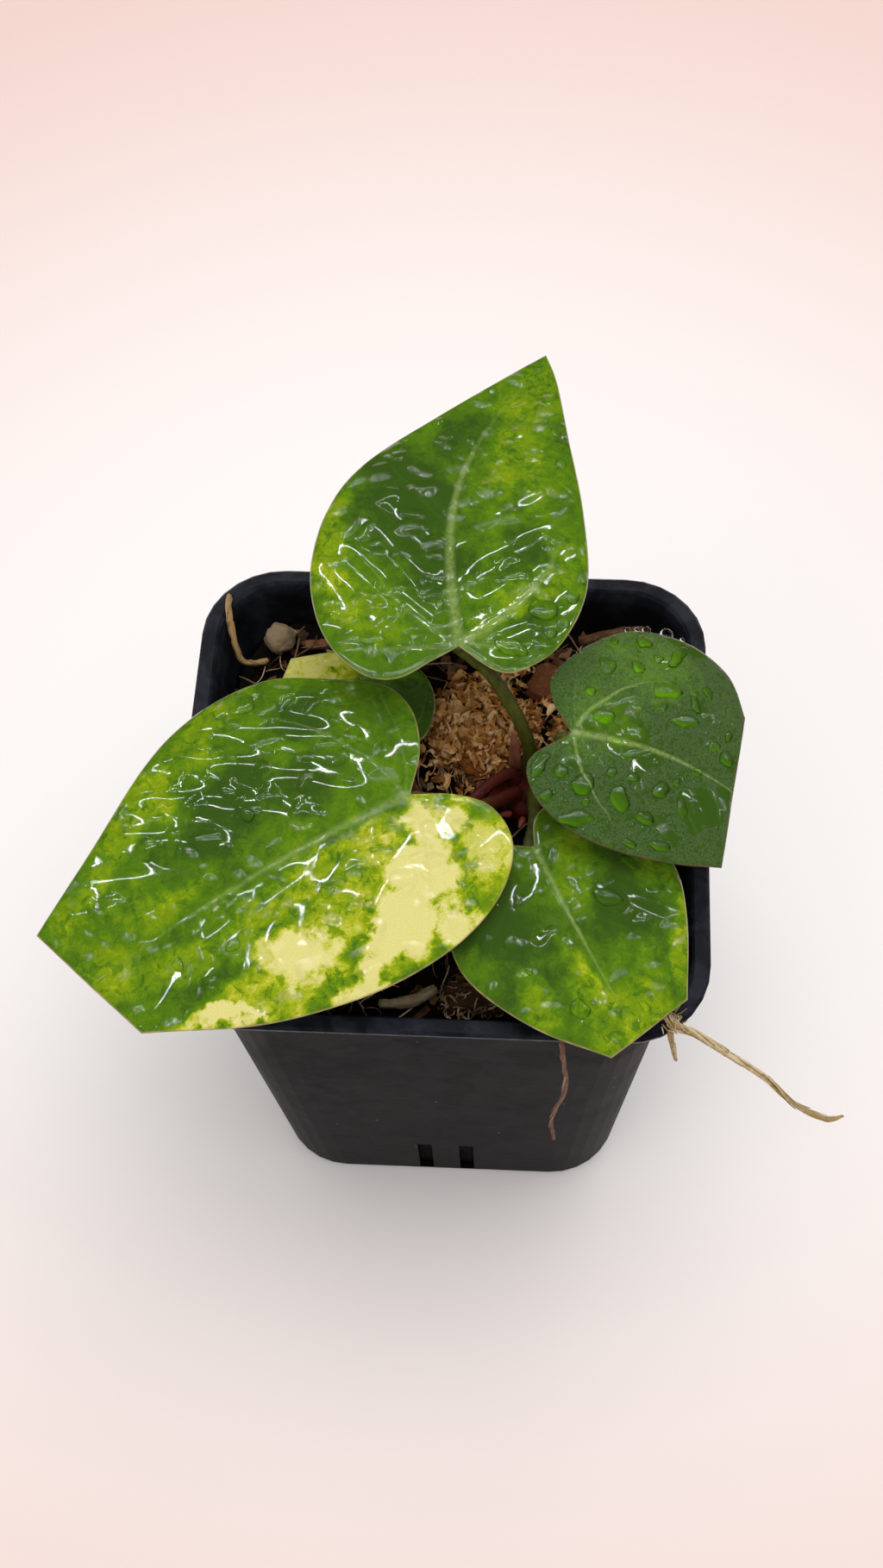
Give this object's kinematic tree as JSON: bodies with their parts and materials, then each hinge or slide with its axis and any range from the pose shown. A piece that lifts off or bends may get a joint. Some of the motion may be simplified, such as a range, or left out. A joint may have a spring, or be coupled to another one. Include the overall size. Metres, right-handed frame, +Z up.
{
  "type": "potted anthurium",
  "caption": "Young variegated anthurium with heart-shaped leaves on short stalks, rooted in bark and moss in a tapered square plastic nursery pot.",
  "frame": {"origin": "centre of the pot's flat underside", "axes": "+Z up along the pot, -Y towards the pot's front wall, which the picture faces"},
  "size_m": [0.133, 0.1389, 0.1241],
  "materials": {
    "pot": "black injection-moulded plastic, slightly dusty satin",
    "growing_mix": "damp bark and fibre mix, matt",
    "moss_mound": "shredded dry sphagnum, matt",
    "moss_front": "curled dry fibre, matt",
    "bark_ball": "round bark piece, matt",
    "bark_chip_rear": "reddish bark, matt",
    "bark_chip_left": "bark, matt",
    "bark_chip_right": "bark, matt",
    "bark_chip_front": "pale bark, matt",
    "stick_rear_left": "twig, matt",
    "stick_rear_right": "twig, matt",
    "stick_front": "pale splinter, matt",
    "crown": "maroon stem, satin",
    "sheath_rear": "pink papery scale, satin",
    "sheath_left": "maroon papery scale, satin",
    "leaf_top": "living leaf, variegated, wet and glossy",
    "leaf_left": "living leaf, variegated, wet and glossy",
    "leaf_right": "living leaf, dark green, wet and glossy",
    "leaf_front": "living leaf, variegated, wet and glossy",
    "leaf_small": "living leaf, variegated, wet and glossy",
    "petiole_top": "olive green stalk, satin",
    "petiole_left": "olive green stalk, satin",
    "petiole_right": "olive green stalk, satin",
    "petiole_front": "olive green stalk, satin",
    "petiole_small": "olive green stalk, satin",
    "root_right": "straw-coloured aerial root, matt",
    "root_stub": "straw-coloured side root, matt",
    "root_front": "reddish-brown root, matt",
    "root_corner": "pale root, matt"
  },
  "bodies": {
    "root": {"pot": "pot", "growing_mix": "growing_mix", "moss_mound": "moss_mound", "moss_front": "moss_front", "bark_ball": "bark_ball", "bark_chip_rear": "bark_chip_rear", "bark_chip_left": "bark_chip_left", "bark_chip_right": "bark_chip_right", "bark_chip_front": "bark_chip_front", "stick_rear_left": "stick_rear_left", "stick_rear_right": "stick_rear_right", "stick_front": "stick_front", "crown": "crown", "sheath_rear": "sheath_rear", "sheath_left": "sheath_left", "leaf_top": "leaf_top", "leaf_left": "leaf_left", "leaf_right": "leaf_right", "leaf_front": "leaf_front", "leaf_small": "leaf_small", "petiole_top": "petiole_top", "petiole_left": "petiole_left", "petiole_right": "petiole_right", "petiole_front": "petiole_front", "petiole_small": "petiole_small", "root_right": "root_right", "root_stub": "root_stub", "root_front": "root_front", "root_corner": "root_corner"}
  },
  "joints": []
}
